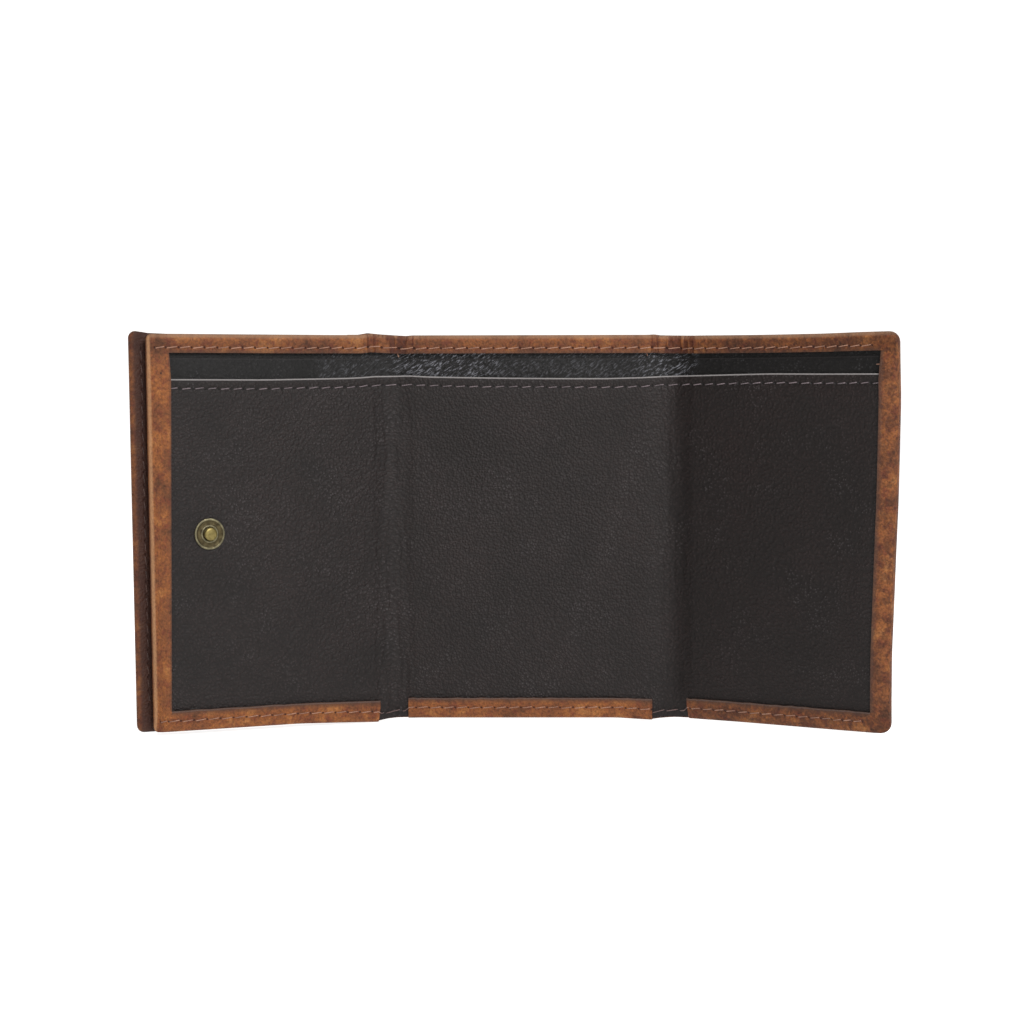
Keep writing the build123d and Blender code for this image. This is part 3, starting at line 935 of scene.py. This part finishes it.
    # Gathers where the borders bend at the folds, with painted shade darkening their creases
    stretched = add_node(tree, "ShaderNodeMapping", Vector=cut, Scale=(0.9, 0.09, 0.3))
    gather = add_node(tree, "ShaderNodeTexNoise", Vector=stretched, Scale=1.0, Detail=2.0, Roughness=0.6)
    folds = [band(tree, add_node(tree, "ShaderNodeMath", {"operation": "COMPARE"}, i0=(parts, 0), i1=place, i2=5.5), 0.0, 1.0) for place in (left_axis[0] - 0.5, right_axis[0] + 0.3)]
    at_fold = add_node(tree, "ShaderNodeMath", {"operation": "ADD"}, i0=folds[0], i1=folds[1])
    crease = add_node(tree, "ShaderNodeMath", {"operation": "MULTIPLY"}, i0=at_fold, i1=band(tree, gather, 0.42, 0.56, 1.0, 0.0))
    crease = add_node(tree, "ShaderNodeMath", {"operation": "MULTIPLY"}, i0=crease, i1=band(tree, (parts, 1), 88.0, 94.0, 0.25, 1.0))
    seam = add_node(tree, "ShaderNodeMath", {"operation": "COMPARE"}, i0=(parts, 0), i1=left_axis[0] + 4.5, i2=0.16)
    seam = add_node(tree, "ShaderNodeMath", {"operation": "MULTIPLY"}, i0=seam, i1=band(tree, (parts, 1), height - 4.6, height - 3.6))
    crease = add_node(tree, "ShaderNodeMath", {"operation": "MAXIMUM"}, i0=crease, i1=seam)
    tone = mixed(tree, crease, tone, (0.55, 0.42, 0.4, 1.0), "MULTIPLY")
    rough = add_node(tree, "ShaderNodeMapRange", Value=patches, From_Min=0.3, From_Max=0.7, To_Min=0.68, To_Max=0.5)
    lift = add_node(tree, "ShaderNodeMath", {"operation": "MULTIPLY_ADD"}, i0=pulled, i1=-2.0, i2=pores)
    lift = add_node(tree, "ShaderNodeMath", {"operation": "MULTIPLY_ADD"}, i0=crease, i1=-1.2, i2=lift)
    relief = add_node(tree, "ShaderNodeBump", Strength=0.6, Distance=0.0003, Height=lift)
    wear(tree, shader, Base_Color=tone, Roughness=rough, Normal=relief)
    return made


# Calf leather dyed right through and embossed with a fine pebble: soft satin, with painted light and shade on each
# pebble
def pebbled_leather(name, deep, high, pebble, rough, gloss, relief_depth, row=None, edge=None, edge_colour="#777372", sheen_middle=None):
    made, tree, shader = new_material(name, Specular_IOR_Level=gloss)
    cut = (add_node(tree, "ShaderNodeAttribute", {"attribute_name": "cut"}), "Vector")
    parts = add_node(tree, "ShaderNodeSeparateXYZ", Vector=cut)
    warp = add_node(tree, "ShaderNodeTexNoise", Vector=cut, Scale=1 / 2.0, Detail=2.0)
    spread = add_node(tree, "ShaderNodeVectorMath", {"operation": "MULTIPLY_ADD"}, i0=(warp, 1), i1=(0.5, 0.5, 0.5), i2=cut)
    cells = add_node(tree, "ShaderNodeTexVoronoi", {"feature": "SMOOTH_F1"}, Vector=spread, Scale=1 / pebble, Smoothness=0.25)
    fine = add_node(tree, "ShaderNodeTexNoise", Vector=cut, Scale=1 / 0.3, Detail=3.0, Roughness=0.6)
    cloud = add_node(tree, "ShaderNodeTexNoise", Vector=cut, Scale=1 / 16, Detail=3.0)
    colour = add_node(tree, "ShaderNodeValToRGB", {"stops": [(0.35, deep), (0.68, high)]}, Fac=cloud)
    # Painted light and shade: each pebble lighter on its top and darker round its edge
    light = add_node(tree, "ShaderNodeMapRange", Value=(cells, "Distance"), From_Min=0.12, From_Max=0.55, To_Min=1.25, To_Max=0.6)
    tone = mixed(tree, 1.0, colour, light, "MULTIPLY")
    bumps = add_node(tree, "ShaderNodeMath", {"operation": "MULTIPLY_ADD"}, i0=(cells, "Distance"), i1=-1.0, i2=fine)
    if row is not None:
        near, hole = needle_row(tree, parts, 0, 1, row, 0.0, 120.0)
        tone = mixed(tree, hole, tone, linear("#0b0909"))
        bumps = add_node(tree, "ShaderNodeMath", {"operation": "MULTIPLY_ADD"}, i0=hole, i1=-1.5, i2=bumps)
    # Painted highlights on the grain tips, in clouds; where the sheet bows out the leather is glossier and its grain
    # stands higher
    clouds = band(tree, add_node(tree, "ShaderNodeTexNoise", Vector=cut, Scale=1 / 9, Detail=3.0), 0.45, 0.7, 0.03, 0.2)
    highlight_zone = None
    if sheen_middle is not None:
        off = add_node(tree, "ShaderNodeMath", {"operation": "SUBTRACT"}, i0=(parts, 0), i1=sheen_middle)
        away = add_node(tree, "ShaderNodeMath", {"operation": "ABSOLUTE"}, i0=off)
        highlight_zone = band(tree, away, 8.0, 19.0, 1.0, 0.0)
    tip_highlights = add_node(tree, "ShaderNodeMath", {"operation": "MULTIPLY"}, i0=clouds, i1=band(tree, (cells, "Distance"), 0.12, 0.42, 1.0, 0.0))
    tip_highlights = add_node(tree, "ShaderNodeMath", {"operation": "MULTIPLY"}, i0=tip_highlights, i1=band(tree, fine, 0.42, 0.54))
    tone = mixed(tree, tip_highlights, tone, linear("#67676a"))
    if sheen_middle is not None:
        # Slanting creases with a painted highlight on their ridges, at both folds and a little between them
        slanted = add_node(tree, "ShaderNodeMapping", {"vector_type": "TEXTURE"}, Vector=spread, Rotation=(0, 0, radians(38)), Scale=(1.4, 0.36, 2.0))
        ridges = add_node(tree, "ShaderNodeTexNoise", Vector=slanted, Scale=1.0, Detail=3.0, Roughness=0.6, Distortion=0.5)
        second = product(tree, band(tree, (parts, 0), 24.0, 31.0), band(tree, (parts, 0), 39.0, 44.0, 1.0, 0.0))
        between = inside(tree, (parts, 0), left_axis[0] - 20.0, right_axis[0])
        creased = add_node(tree, "ShaderNodeMath", {"operation": "MAXIMUM"}, i0=highlight_zone, i1=second)
        creased = add_node(tree, "ShaderNodeMath", {"operation": "MAXIMUM"}, i0=creased, i1=product(tree, between, 0.3))
        ridge_highlights = product(tree, creased, band(tree, ridges, 0.5, 0.68))
        tone = mixed(tree, ridge_highlights, tone, linear("#626267"))
        bumps = add_node(tree, "ShaderNodeMath", {"operation": "MULTIPLY_ADD"}, i0=ridges, i1=1.2, i2=bumps)
    if edge is not None:
        lip = add_node(tree, "ShaderNodeMapRange", {"interpolation_type": "SMOOTHSTEP"}, Value=(parts, 1), From_Min=edge - 0.42, From_Max=edge - 0.24)
        tone = mixed(tree, lip, tone, linear(edge_colour))
    roughness = add_node(tree, "ShaderNodeMapRange", Value=cloud, From_Min=0.3, From_Max=0.7, To_Min=rough + 0.06, To_Max=rough - 0.06)
    if highlight_zone is not None:
        roughness = add_node(tree, "ShaderNodeMath", {"operation": "MULTIPLY_ADD"}, i0=highlight_zone, i1=-0.16, i2=roughness)
        bumps = add_node(tree, "ShaderNodeMath", {"operation": "MULTIPLY"}, i0=bumps, i1=band(tree, highlight_zone, 0.0, 1.0, 0.8, 1.5))
    relief = add_node(tree, "ShaderNodeBump", Strength=0.6, Distance=relief_depth, Height=bumps)
    wear(tree, shader, Base_Color=tone, Roughness=roughness, Normal=relief)
    return made


# Polyester sewing thread, three plies twisted: a soft lustre, with painted shade as dark lines between the plies
def thread(name, colour, shade):
    made, tree, shader = new_material(name, Specular_IOR_Level=0.4, Sheen_Weight=0.15)
    cut = (add_node(tree, "ShaderNodeAttribute", {"attribute_name": "cut"}), "Vector")
    plies = add_node(tree, "ShaderNodeTexWave", {"bands_direction": "DIAGONAL"}, Vector=cut, Scale=1.1, Distortion=0.6, Detail=1.0)
    uneven = add_node(tree, "ShaderNodeTexNoise", Vector=cut, Scale=1 / 2.6, Detail=2.0)
    tone = add_node(tree, "ShaderNodeValToRGB", {"stops": [(0.35, shade), (0.62, colour)]}, Fac=uneven)
    # Painted shade in the grooves between the plies
    dark = add_node(tree, "ShaderNodeMapRange", Value=plies, From_Min=0.0, From_Max=0.5, To_Min=0.7, To_Max=1.0)
    tone = mixed(tree, 1.0, tone, dark, "MULTIPLY")
    # Painted shade where it crosses the fold gaps at the lower edge
    parts = add_node(tree, "ShaderNodeSeparateXYZ", Vector=cut)
    low = band(tree, (parts, 1), 4.0, 6.0, 1.0, 0.0)
    for gap in (left_gap, right_gap):
        tone = mixed(tree, product(tree, low, inside(tree, (parts, 0), *gap)), tone, (0.38, 0.4, 0.55, 1.0), "MULTIPLY")
    relief = add_node(tree, "ShaderNodeBump", Strength=0.5, Distance=0.0001, Height=plies)
    rough = add_node(tree, "ShaderNodeMapRange", Value=uneven, To_Min=0.62, To_Max=0.5)
    wear(tree, shader, Base_Color=tone, Roughness=rough, Normal=relief)
    return made


# Brass, turned, darkened in a bath and rubbed back: brown in the hollows, gold where fingers polish it
def antique_brass(name, low, high, rough):
    made, tree, shader = new_material(name, Metallic=1.0)
    place = (add_node(tree, "ShaderNodeTexCoord"), "Object")
    stain = add_node(tree, "ShaderNodeTexNoise", Vector=place, Scale=1 / 0.0011, Detail=4.0, Roughness=0.65)
    tone = add_node(tree, "ShaderNodeValToRGB", {"stops": [(0.36, low), (0.62, high)]}, Fac=stain)
    scuff = add_node(tree, "ShaderNodeTexNoise", Vector=place, Scale=1 / 0.0003, Detail=3.0)
    roughness = add_node(tree, "ShaderNodeMapRange", Value=stain, From_Min=0.35, From_Max=0.65, To_Min=rough + 0.15, To_Max=rough)
    relief = add_node(tree, "ShaderNodeBump", Strength=0.25, Distance=0.00006, Height=scuff)
    wear(tree, shader, Base_Color=tone, Roughness=roughness, Normal=relief)
    return made


# Polyester lining cloth, plain weave at 0.35 mm a thread, drawn at 0.7 mm so that it shows
def lining_cloth(name):
    made, tree, shader = new_material(name, Specular_IOR_Level=0.3, Sheen_Weight=0.2)
    cut = (add_node(tree, "ShaderNodeAttribute", {"attribute_name": "cut"}), "Vector")
    warp = add_node(tree, "ShaderNodeTexWave", {"bands_direction": "X"}, Vector=cut, Scale=0.45, Distortion=0.3)
    weft = add_node(tree, "ShaderNodeTexWave", {"bands_direction": "Y"}, Vector=cut, Scale=0.45, Distortion=0.3)
    weave = add_node(tree, "ShaderNodeMath", {"operation": "ADD"}, i0=warp, i1=weft)
    tone = add_node(tree, "ShaderNodeValToRGB", {"stops": [(0.2, "#1b1817"), (0.9, "#3b3634")]}, Fac=weave)
    rough = add_node(tree, "ShaderNodeMapRange", Value=weave, To_Min=0.8, To_Max=0.65)
    relief = add_node(tree, "ShaderNodeBump", Strength=0.4, Distance=0.0002, Height=weave)
    wear(tree, shader, Base_Color=tone, Roughness=rough, Normal=relief)
    return made


# Bonded leather board: ground fibres pressed flat, dull and flecked
def fibre_board(name):
    made, tree, shader = new_material(name, Specular_IOR_Level=0.2)
    cut = (add_node(tree, "ShaderNodeAttribute", {"attribute_name": "cut"}), "Vector")
    fibres = add_node(tree, "ShaderNodeTexNoise", Vector=cut, Scale=1 / 1.2, Detail=5.0, Roughness=0.7)
    tone = add_node(tree, "ShaderNodeValToRGB", {"stops": [(0.35, "#5c4733"), (0.65, "#8d7357")]}, Fac=fibres)
    rough = add_node(tree, "ShaderNodeMapRange", Value=fibres, To_Min=0.95, To_Max=0.8)
    relief = add_node(tree, "ShaderNodeBump", Strength=0.4, Distance=0.0001, Height=fibres)
    wear(tree, shader, Base_Color=tone, Roughness=rough, Normal=relief)
    return made


# Seamless backdrop paper, matt white
def backdrop_paper(name):
    made, tree, shader = new_material(name, Specular_IOR_Level=0.1, Emission_Color=(1, 1, 1, 1), Emission_Strength=0.86)
    place = (add_node(tree, "ShaderNodeTexCoord"), "Object")
    tooth = add_node(tree, "ShaderNodeTexNoise", Vector=place, Scale=400.0, Detail=2.0)
    tone = add_node(tree, "ShaderNodeValToRGB", {"stops": [(0.3, "#bcbcbb"), (0.7, "#c2c2c1")]}, Fac=tooth)
    rough = add_node(tree, "ShaderNodeMapRange", Value=tooth, To_Min=0.95, To_Max=0.9)
    wear(tree, shader, Base_Color=tone, Roughness=rough)
    return made


def dress(piece, *materials):
    piece.data.materials.clear()
    for material in materials:
        piece.data.materials.append(material)


brown = pull_up_leather("pull_up_leather")
flap_brown = pull_up_leather("pull_up_leather_flap", flap=True)
pocket_black = pebbled_leather("pebbled_calf", "#140c0a", "#190f0d", 0.7, 0.47, 0.23, 0.0003, pocket_row, pocket_top)
lining_black = pebbled_leather("glazed_lining_leather", "#080605", "#0e0b0a", 0.8, 0.5, 0.2, 0.0003, sheen_middle=left_axis[0] + 13)
divider_black = pebbled_leather("divider_leather", "#080605", "#0e0b0a", 0.8, 0.5, 0.2, 0.0003, None, divider_top, "#1a1717", left_axis[0] + 13)
tan_thread = thread("tan_thread", "#956e59", "#74503f")
umber_thread = thread("umber_thread", "#4a3026", "#33201a")
mauve_thread = thread("mauve_thread", "#6e6164", "#544a4d")
old_brass = antique_brass("antique_brass", "#3a3325", "#564d37", 0.5)
rim_brass = antique_brass("rubbed_rim_brass", "#5a5544", "#787159", 0.46)
knob_brass = antique_brass("rubbed_knob_brass", "#665b38", "#807348", 0.4)
cloth = lining_cloth("lining_cloth")
board_stuff = fibre_board("fibre_board")

for piece in (outer_left, outer_right, spine):
    dress(piece, brown)
dress(coin_flap, flap_brown)
for piece in pocket_pair:
    dress(piece, pocket_black)
for piece in lining_pair:
    dress(piece, lining_black)
for piece in divider_pair:
    dress(piece, divider_black)
for panel, board in boards:
    dress(board, board_stuff)
for half, kind, row in threads:
    dress(row, tan_thread if kind == "brown" else mauve_thread)
for row in (*flap_threads[1:], spine_threads):
    dress(row, tan_thread)
dress(flap_threads[0], umber_thread)
for piece in (gusset_top, gusset_bottom, flap_lining):
    dress(piece, cloth)
for node in frame["nodes"].values():
    dress(node, old_brass)
# Fingers rub the rolled rim, the collar and the knob of each stud
for piece, node, direction in ((stud, "closure_stud", left_face), (coin_post, "coin_stud", left_back)):
    dress(piece, old_brass, rim_brass, knob_brass)
    way = Vector(direction).normalized()
    seat = seat_of(node, way)
    for face in piece.data.polygons:
        place = Vector(face.center) / MM - seat
        tall = place @ way
        out = (place - way * tall).length
        face.material_index = 2 if out < 1.75 and tall > 0.5 else 1 if out > 3.55 or 1.95 < out < 2.25 else 0
dress(socket, rim_brass)

# Floor, light and camera ----------------------------------

put_down()
bpy.ops.mesh.primitive_cube_add(size=1, location=(0, 0, 0.8 - 0.001))
backdrop = new_piece("backdrop", (11.0, 11.0, 1.6))
pick(backdrop, "faces", lambda at, way: way.z > 0.9)
bpy.ops.mesh.delete(type="ONLY_FACE")
put_down()
pick(backdrop, "edges", lambda at, way: at.z < 0.1)
bpy.ops.mesh.bevel(offset=1.2, segments=12, affect="EDGES", clamp_overlap=False)
bpy.ops.mesh.select_all(action="SELECT")
bpy.ops.mesh.flip_normals()
put_down()
smooth(backdrop, 60)
dress(backdrop, backdrop_paper("backdrop_paper"))

world = bpy.data.worlds.new("studio")
bpy.context.scene.world = world
world.use_nodes = True
world.node_tree.nodes["Background"].inputs["Color"].default_value = (1, 1, 1, 1)
world.node_tree.nodes["Background"].inputs["Strength"].default_value = 0.3


def lamp(name, place, target, size, power):
    """A square soft box that faces a place."""
    light = bpy.data.lights.new(name, "AREA")
    light.size = size
    light.energy = power
    made = bpy.data.objects.new(name, light)
    bpy.context.scene.collection.objects.link(made)
    made.location = place
    made.rotation_euler = (Vector(target) - Vector(place)).to_track_quat("-Z", "Y").to_euler()


lamp("key", (0.42, -0.86, 0.72), (0, 0, 0.05), 0.5, 14)
lamp("top", (-0.1, 0.1, 1.3), (0, 0, 0.0), 1.2, 6)
bpy.context.scene.view_settings.view_transform = "Standard"

camera = bpy.data.cameras.new("camera")
camera.sensor_width = 36
camera.lens = 84.796875
camera.shift_x = 0.004951171875
camera.shift_y = 0.050439453125
camera.clip_start = 0.05
eye = bpy.data.objects.new("camera", camera)
bpy.context.scene.collection.objects.link(eye)
eye.location = (4.077 * MM, -632.842 * MM, 86.11 * MM)
eye.rotation_euler = (radians(90 - 4.099), radians(0.161), radians(0.990))
bpy.context.scene.camera = eye
